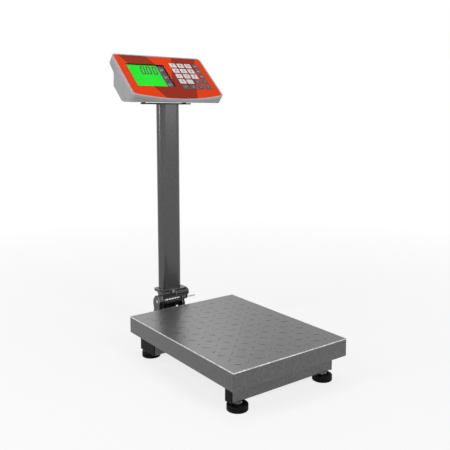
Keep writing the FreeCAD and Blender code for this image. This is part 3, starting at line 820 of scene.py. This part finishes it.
@dataclass
class Platform:
    """The sheet tray with its raised tread pattern."""

    finishes: dict[str, bpy.types.Material]
    pitch: float = 26.0 * MM
    length: float = 15.0 * MM
    width: float = 5.5 * MM
    height: float = 0.45 * MM
    margin: float = 8.0 * MM
    bend_radius: float = 1.2 * MM
    bend_proud: float = 0.25 * MM
    corner: float = 0.8 * MM

    def build(self) -> None:
        """Dress the tray and add its tread lozenges."""
        dress(self.finishes["hammertone_enamel"], "platform_pan")
        low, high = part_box("platform_pan")
        master = self.lozenge()
        copies = []
        columns = int((high.x - low.x - 2 * self.margin) / self.pitch)
        rows = int((high.y - low.y - 2 * self.margin) / self.pitch)
        start_x = (low.x + high.x - (columns - 1) * self.pitch) / 2
        start_y = (low.y + high.y - (rows - 1) * self.pitch) / 2
        for column in range(columns):
            for row in range(rows):
                slant = 1 if (column + row) % 2 else -1
                x, y = start_x + column * self.pitch, start_y + row * self.pitch
                place = Matrix.Translation((x, y, high.z))
                mesh = master.data.copy()
                mesh.transform(place @ Matrix.Rotation(slant * math.pi / 4, 4, "Z"))
                copy = bpy.data.objects.new("lozenge", mesh)
                bpy.context.collection.objects.link(copy)
                copies.append(copy)
        bpy.data.objects.remove(master)
        tread = joined(copies, "tread_lozenges")
        finish_piece(tread, self.finishes["hammertone_enamel"], "pan")
        self.worn_edge(low, high)

    def worn_edge(self, low: Vector, high: Vector) -> None:
        """Make the rolled bend round the tray's top, which catches the lamps; its pale enamel is a
        painted highlight.

        Args:
            low: The tray's lowest corner.
            high: The tray's highest corner.
        """
        deselect()
        bpy.ops.mesh.primitive_plane_add(size=1.0, location=(0, 0, 0))
        piece = bpy.context.object
        inset = self.bend_radius - self.bend_proud
        size = high - low
        piece.scale = (size.x - 2 * inset, size.y - 2 * inset, 1.0)
        bake_place(piece)
        only(piece)
        bpy.ops.object.mode_set(mode="EDIT")
        bpy.ops.mesh.select_all(action="SELECT")
        bpy.ops.mesh.bevel(offset=self.corner, segments=3, affect="VERTICES")
        bpy.ops.mesh.select_all(action="SELECT")
        bpy.ops.mesh.delete(type="ONLY_FACE")
        bpy.ops.object.mode_set(mode="OBJECT")
        bpy.ops.object.convert(target="CURVE")
        piece = bpy.context.object
        piece.data.bevel_depth = self.bend_radius
        piece.data.bevel_resolution = 3
        bpy.ops.object.convert(target="MESH")
        piece = bpy.context.object
        piece.name = "tray_bend"
        centre = (low + high) / 2
        bake_place(piece, Matrix.Translation((centre.x, centre.y, high.z - inset)))
        only(piece)
        bpy.ops.object.shade_smooth()
        # Pale enamel on the bend: a painted highlight along the tray's top edge.
        finish_piece(piece, self.finishes["polished_enamel_edge"], "pan")

    def lozenge(self) -> bpy.types.Object:
        """Model one lens-shaped raised lozenge at the origin.

        Returns:
            The lozenge, along X, with its foot a little below z = 0.
        """
        deselect()
        bpy.ops.mesh.primitive_cylinder_add(vertices=14, radius=0.5, depth=1.0, location=(0, 0, 0))
        piece = bpy.context.object
        bpy.ops.object.mode_set(mode="EDIT")
        bpy.ops.mesh.select_all(action="SELECT")
        bpy.ops.transform.resize(value=(self.length, self.width, self.height))
        edit = bmesh.from_edit_mesh(piece.data)
        for face in edit.faces:
            face.select_set(face.normal.z > 0.9)
        bmesh.update_edit_mesh(piece.data)
        bpy.ops.mesh.inset(thickness=self.width * 0.2)
        bpy.ops.transform.translate(value=(0, 0, self.height * 0.35))
        bpy.ops.object.mode_set(mode="OBJECT")
        bpy.ops.object.shade_smooth_by_angle(angle=math.radians(50))
        piece.data.transform(Matrix.Translation((0, 0, self.height * 0.05)))
        return piece


@dataclass
class BaseAndFeet:
    """Frame tubes, weighing train and levelling feet, as they come from the frame."""

    finishes: dict[str, bpy.types.Material]

    def build(self) -> None:
        """Dress the base's nodes."""
        dress(
            self.finishes["hammertone_enamel"], "front_cross_tube", "rear_cross_tube",
            "spine_channel", "pan_spider", "mast_bracket",
        )
        dress(self.finishes["black_polypropylene"], "tube_end_caps")
        dress(self.finishes["extruded_aluminium"], "load_cell")
        dress(
            self.finishes["zinc_plate"], "cell_spacers", "cell_bolts", "bracket_bolts",
            "foot_lock_nuts", *nodes_named("foot_stud"),
        )
        dress(self.finishes["black_rubber"], "pan_bumpers", *nodes_named("foot_pad"))


@dataclass
class MastAndHinge:
    """Folding mast, its cast hinge, the pull rod and the bracket under the head."""

    finishes: dict[str, bpy.types.Material]

    def build(self) -> None:
        """Dress the mast's nodes."""
        dress(self.finishes["hammertone_on_tube"], "mast_tube")
        # Hinge castings in black enamel, with a painted highlight along every edge.
        dress(self.finishes["worn_cast_enamel"], "hinge_base", "hinge_head")
        dress(self.finishes["black_powder_coat"], "head_bracket")
        dress(self.finishes["bright_turned_steel"], "lock_rod")
        dress(self.finishes["drawn_spring_wire"], "lock_spring")
        dress(self.finishes["zinc_plate"], "hinge_head_bolts", "tilt_bolts")


class Segment(Enum):
    """The seven bars of a digit: centre in digit heights and whether it lies flat."""

    TOP = (0.0, 0.5, True)
    MIDDLE = (0.0, 0.0, True)
    BOTTOM = (0.0, -0.5, True)
    UPPER_LEFT = (-0.5, 0.25, False)
    UPPER_RIGHT = (0.5, 0.25, False)
    LOWER_LEFT = (-0.5, -0.25, False)
    LOWER_RIGHT = (0.5, -0.25, False)


@dataclass
class Display:
    """Backlit display: green field, dark mask, reading and unit labels."""

    face: FaceFrame
    finishes: dict[str, bpy.types.Material]
    field_right: float = -18.5 * MM
    mask_left: float = 2.64 * MM
    mask_below: float = 3.36 * MM
    mask_above: float = 1.2 * MM
    reading_margin: float = 6.5 * MM
    digit_height: float = 27.5 * MM
    digit_width: float = 8.6 * MM
    digit_pitch: float = 16.4 * MM
    stroke: float = 3.4 * MM
    lean: float = 0.12
    film: float = 0.08 * MM
    sheet: float = 0.1 * MM
    ink_height: float = 0.12 * MM
    label_half_width: float = 6.5 * MM
    label_half_height: float = 6.0 * MM
    label_first: float = 16.0 * MM
    label_pitch: float = 28.0 * MM
    label_type: float = 6.2 * MM

    def build(self) -> None:
        """Build the display's pieces."""
        dress(self.finishes["display_mask"], "lcd_panel")
        dress(self.finishes["clear_acrylic"], "lcd_window")
        low, high = self.face.box("lcd_panel")
        self.surface = high.z
        self.lit_field(low, high)
        self.reading(high)
        self.unit_labels(high)

    def plate(
        self, x0: float, x1: float, y0: float, y1: float, z0: float, z1: float, bevel: float,
    ) -> bpy.types.Object:
        """Model a thin plate with bevelled upright edges.

        Args:
            x0: Left edge.
            x1: Right edge.
            y0: Lower edge.
            y1: Upper edge.
            z0: Underside.
            z1: Top.
            bevel: Corner radius.

        Returns:
            The plate, in the face's frame.
        """
        deselect()
        centre = ((x0 + x1) / 2, (y0 + y1) / 2, (z0 + z1) / 2)
        bpy.ops.mesh.primitive_cube_add(size=1.0, location=centre)
        piece = bpy.context.object
        piece.scale = (x1 - x0, y1 - y0, z1 - z0)
        bake_place(piece)
        only(piece)
        bpy.ops.object.mode_set(mode="EDIT")
        edit = bmesh.from_edit_mesh(piece.data)
        for edge in edit.edges:
            run = edge.verts[0].co - edge.verts[1].co
            edge.select_set(abs(run.z) > 0.9 * run.length)
        bmesh.update_edit_mesh(piece.data)
        bpy.ops.mesh.bevel(offset=bevel, segments=3, affect="EDGES")
        bpy.ops.object.mode_set(mode="OBJECT")
        return piece

    def lit_field(self, low: Vector, high: Vector) -> None:
        """Make the green field.

        Args:
            low: The panel's lowest corner, in the face's frame.
            high: The panel's highest corner.
        """
        piece = self.plate(
            low.x + self.mask_left, self.field_right,
            low.y + self.mask_below, high.y - self.mask_above,
            self.surface, self.surface + self.sheet, 0.4 * MM,
        )
        piece.name = "lit_field"
        bake_place(piece, self.face.to_row)
        finish_piece(piece, self.finishes["backlit_lcd_glass"], "head")

    def reading(self, high: Vector) -> None:
        """Make the digits 0.00 at the field's upper right.

        Args:
            high: The panel's highest corner, in the face's frame.
        """
        bars = []
        right = self.field_right - self.reading_margin - self.digit_width / 2
        centre_y = high.y - self.reading_margin - self.digit_height / 2
        for place in range(3):
            centre_x = right - (2 - place) * self.digit_pitch
            for segment in Segment:
                if segment is not Segment.MIDDLE:
                    bars.append(self.bar(centre_x, centre_y, segment))
        dot_x = right - 1.5 * self.digit_pitch
        dot_y = centre_y - self.digit_height / 2
        half = self.stroke / 2
        bars.append(self.plate(
            dot_x - half, dot_x + half, dot_y - half, dot_y + half, 0, self.film, 0.3 * MM,
        ))
        piece = joined(bars, "display_reading")
        slant = Matrix.Identity(4)
        slant[0][1] = self.lean
        slant[0][3] = -self.lean * centre_y
        lift = Matrix.Translation((0, 0, self.surface + self.ink_height))
        bake_place(piece, self.face.to_row @ lift @ slant)
        finish_piece(piece, self.finishes["lcd_segment"], "head")

    def bar(self, centre_x: float, centre_y: float, segment: Segment) -> bpy.types.Object:
        """Model one bar of a digit.

        Args:
            centre_x: The digit's centre.
            centre_y: The digit's centre.
            segment: Which bar.

        Returns:
            The bar, in the face's frame.
        """
        across, up, flat = segment.value
        x = centre_x + across * self.digit_width
        y = centre_y + up * self.digit_height
        half = self.stroke / 2
        if flat:
            reach = self.digit_width / 2
            return self.plate(x - reach, x + reach, y - half, y + half, 0, self.film, 0.5 * MM)
        reach = self.digit_height / 4 - 0.4 * MM
        return self.plate(x - half, x + half, y - reach, y + reach, 0, self.film, 0.5 * MM)

    def unit_labels(self, high: Vector) -> None:
        """Make the three unit labels on the mask's right strip.

        Args:
            high: The panel's highest corner, in the face's frame.
        """
        plates = []
        centre_x = (self.field_right + high.x) / 2
        for row, word in enumerate(("kg", "lb", "pcs")):
            y = high.y - self.label_first - self.label_pitch * row
            plates.append(self.plate(
                centre_x - self.label_half_width, centre_x + self.label_half_width,
                y - self.label_half_height, y + self.label_half_height,
                self.surface, self.surface + self.sheet, 1.0 * MM,
            ))
            centre = Vector((centre_x, y, self.surface + self.ink_height))
            legend = lettering(word, self.label_type, centre, self.face.to_row)
            legend.name = "unit_legend_" + word
            finish_piece(legend, self.finishes["legend_pale"], "head")
        piece = joined(plates, "unit_labels")
        bake_place(piece, self.face.to_row)
        finish_piece(piece, self.finishes["label_grey"], "head")


INK_HALF_THICKNESS = 0.03 * MM
INK_SPREAD = 0.012


def lettering(text: str, size: float, centre: Vector, to_row: Matrix) -> bpy.types.Object:
    """Model flat lettering as a thin mesh.

    Args:
        text: The characters.
        size: Height of the type, in metres.
        centre: Centre of the text, in the face's frame, with its underside's height.
        to_row: Transform from the face's frame to the row frame.

    Returns:
        The mesh, in the row frame.
    """
    deselect()
    bpy.ops.object.text_add(location=(0, 0, 0))
    piece = bpy.context.object
    piece.data.body = text
    piece.data.size = size
    piece.data.align_x = "CENTER"
    piece.data.align_y = "CENTER"
    piece.data.extrude = INK_HALF_THICKNESS
    piece.data.resolution_u = 4
    piece.data.offset = size * INK_SPREAD
    bpy.ops.object.convert(target="MESH")
    piece = bpy.context.object
    lift = Vector((0, 0, INK_HALF_THICKNESS))
    bake_place(piece, to_row @ Matrix.Translation(centre + lift))
    return piece


@dataclass
class Keypad:
    """Twenty keys with their legends."""

    face: FaceFrame
    finishes: dict[str, bpy.types.Material]
    digit_type: float = 11.0 * MM
    sign_type: float = 7.5 * MM
    white_legends: dict[str, str] = field(default_factory=lambda: {
        **{f"key_{digit}": str(digit) for digit in range(10)}, "key_point": ".",
    })
    dark_legends: dict[str, str] = field(default_factory=lambda: {
        "key_memory_1": "M1", "key_memory_2": "M2", "key_memory_3": "M3", "key_clear": "C",
        "key_total": "+", "key_tare": "T", "key_zero": "0", "key_unit_price": "=",
        "key_backlight": "*",
    })

    def build(self) -> None:
        """Dress the keys and add their legends."""
        dress(self.finishes["white_key_cap"], *self.white_legends)
        dress(self.finishes["charcoal_key_cap"], *self.dark_legends)
        for name, text in self.white_legends.items():
            self.legend(name, text, self.digit_type, "legend_black", "dark_key")
        for name, text in self.dark_legends.items():
            self.legend(name, text, self.sign_type, "legend_pale", "white_key")

    def legend(self, name: str, text: str, size: float, finish: str, slot: str) -> None:
        """Put one legend on its key.

        Args:
            name: The key's node and body.
            text: The legend.
            size: Height of the type.
            finish: Name of the finish.
            slot: Not used.
        """
        low, high = self.face.box(name)
        centre = Vector(((low.x + high.x) / 2, (low.y + high.y) / 2, high.z))
        piece = lettering(text, size, centre, self.face.to_row)
        piece.name = "legend_" + name
        finish_piece(piece, self.finishes[finish], name)


@dataclass
class IndicatorHead:
    """Case, bezel, overlay and inner parts of the indicator."""

    finishes: dict[str, bpy.types.Material]

    def build(self) -> None:
        """Dress the head's nodes."""
        dress(self.finishes["spark_textured_abs"], "rear_case")
        dress(self.finishes["two_tone_bezel_abs"], "front_bezel")
        dress(self.finishes["printed_polyester_film"], "face_overlay")
        dress(self.finishes["solder_resist"], "main_board")
        dress(self.finishes["battery_abs"], "battery")
        dress(self.finishes["zinc_plate"], "case_screws")
        dress(self.finishes["black_polypropylene"], "charge_socket", "power_switch")


# ------------------------------------------------------------------ studio

@dataclass(frozen=True)
class SoftBox:
    """One rectangular lamp: its place from the aim point, its size in metres and its watts."""

    name: str
    offset: tuple[float, float, float]
    size: tuple[float, float]
    watts: float


SOFT_BOXES = (
    SoftBox("left_box", (-1.75, 0.1, 0.9), (0.4, 1.6), 17.0),
    SoftBox("front_box", (0.1, -2.4, 1.3), (0.8, 1.2), 26.0),
    SoftBox("right_box", (1.4, -2.1, 0.55), (0.9, 0.7), 2.6),
    SoftBox("rear_box", (1.25, 2.2, 1.15), (0.9, 0.6), 3.4),
    SoftBox("top_box", (0.1, 0.2, 2.3), (1.2, 1.2), 11.0),
)


@dataclass
class Studio:
    """Camera, lamps, world and floor, with sizes in metres and angles in degrees."""

    lens_mm: float = 49.42
    sensor_mm: float = 36.0
    camera_from_platform: tuple[float, float, float] = (-0.8010, -1.0552, 0.4691)
    yaw: float = 36.46
    pitch: float = 6.92
    shift_y: float = -0.08
    sight: float = 100.0
    aim_from_platform: tuple[float, float, float] = (0.0, 0.15, 0.25)
    dome_strength: float = 0.24
    floor_size: float = 30.0
    paper_tone: float = 0.86
    paper_roughness: float = 0.9
    shadow_near: float = 0.5
    shadow_far: float = 1.9
    glow_near: float = 0.8

    def build(self) -> None:
        """Build everything that isn't the object."""
        self.camera()
        self.world()
        self.floor()
        self.lamps()

    def platform_centre(self) -> Vector:
        """Centre of the platform's top."""
        low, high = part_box("platform_pan")
        return Vector(((low.x + high.x) / 2, (low.y + high.y) / 2, high.z))

    def camera(self) -> None:
        """Create the camera at the viewer's place."""
        data = bpy.data.cameras.new("viewer")
        data.lens = self.lens_mm
        data.sensor_width = self.sensor_mm
        data.shift_y = self.shift_y
        data.clip_end = self.sight
        camera = bpy.data.objects.new("viewer", data)
        bpy.context.scene.collection.objects.link(camera)
        camera.location = self.platform_centre() + Vector(self.camera_from_platform)
        camera.rotation_euler = (math.radians(90.0 - self.pitch), 0.0, -math.radians(self.yaw))
        bpy.context.scene.camera = camera

    def seen_directly(self, tree: bpy.types.NodeTree) -> bpy.types.NodeSocket:
        """Tell rays that show the background from rays that only light the object.

        Args:
            tree: The node tree that gets the nodes.

        Returns:
            A socket that is one for camera, glossy and transmission rays.
        """
        path = add_node(tree, "ShaderNodeLightPath")
        seen = path.outputs["Is Camera Ray"]
        for kind in ("Is Glossy Ray", "Is Transmission Ray"):
            seen = add_node(
                tree, "ShaderNodeMath", {0: seen, 1: path.outputs[kind]}, operation="MAXIMUM",
            ).outputs[0]
        return seen

    def world(self) -> None:
        """White to the camera, glass and glossy surfaces; a soft grey dome as a light."""
        world = bpy.data.worlds.new("studio")
        bpy.context.scene.world = world
        world.use_nodes = True
        tree = world.node_tree
        tree.nodes.clear()
        dome, white = (
            add_node(tree, "ShaderNodeBackground", {"Color": WHITE, "Strength": strength})
            for strength in (self.dome_strength, 1.0)
        )
        mixed = add_node(
            tree, "ShaderNodeMixShader",
            {0: self.seen_directly(tree), 1: dome.outputs[0], 2: white.outputs[0]},
        )
        add_node(tree, "ShaderNodeOutputWorld", {0: mixed.outputs[0]})

    def floor(self) -> None:
        """Lay a plain white floor that keeps a soft shadow near the object.

        The paper glows a little where it is seen, and fully from shadow_far on, so that no
        horizon shows.
        """
        deselect()
        bpy.ops.mesh.primitive_plane_add(size=self.floor_size, location=(0, 0, 0))
        floor = bpy.context.object
        floor.name = "floor"
        material, tree, shader = new_material("matt_white_paper")
        shader.inputs["Base Color"].default_value = (self.paper_tone,) * 3 + (1.0,)
        shader.inputs["Roughness"].default_value = self.paper_roughness
        glow = add_node(tree, "ShaderNodeEmission", {"Color": WHITE, "Strength": 1.0})
        place = add_node(tree, "ShaderNodeTexCoord").outputs["Object"]
        reach = add_node(tree, "ShaderNodeVectorMath", {0: place}, operation="LENGTH")
        share = add_node(
            tree, "ShaderNodeMapRange",
            {"Value": reach.outputs["Value"], "From Min": self.shadow_near,
             "From Max": self.shadow_far, "To Min": self.glow_near, "To Max": 1.0},
        )
        seen_share = add_node(
            tree, "ShaderNodeMath", {0: self.seen_directly(tree), 1: share.outputs["Result"]},
            operation="MULTIPLY",
        )
        mixed = add_node(
            tree, "ShaderNodeMixShader",
            {0: seen_share.outputs[0], 1: shader.outputs[0], 2: glow.outputs[0]},
        )
        output = next(node for node in tree.nodes if node.type == "OUTPUT_MATERIAL")
        tree.links.new(mixed.outputs[0], output.inputs["Surface"])
        floor.data.materials.append(material)

    def lamps(self) -> None:
        """Hang the soft boxes, all turned towards the object."""
        aim = self.platform_centre() + Vector(self.aim_from_platform)
        for box in SOFT_BOXES:
            data = bpy.data.lights.new(box.name, "AREA")
            data.shape = "RECTANGLE"
            data.size, data.size_y = box.size
            data.energy = box.watts
            lamp = bpy.data.objects.new(box.name, data)
            lamp.visible_camera = False
            bpy.context.scene.collection.objects.link(lamp)
            offset = Vector(box.offset)
            lamp.location = aim + offset
            lamp.rotation_euler = (-offset).to_track_quat("-Z", "Y").to_euler()


def main() -> None:
    """Build the looks in order."""
    logging.basicConfig(level=logging.INFO, format="%(name)s: %(message)s")
    bpy.context.scene.view_settings.view_transform = "Standard"
    Studio().build()
    face = FaceFrame()
    finishes = Finishes(face.from_row).build()
    for part in (Platform, BaseAndFeet, MastAndHinge, IndicatorHead):
        part(finishes).build()
    Display(face, finishes).build()
    Keypad(face, finishes).build()


if __name__ == "__main__":
    main()
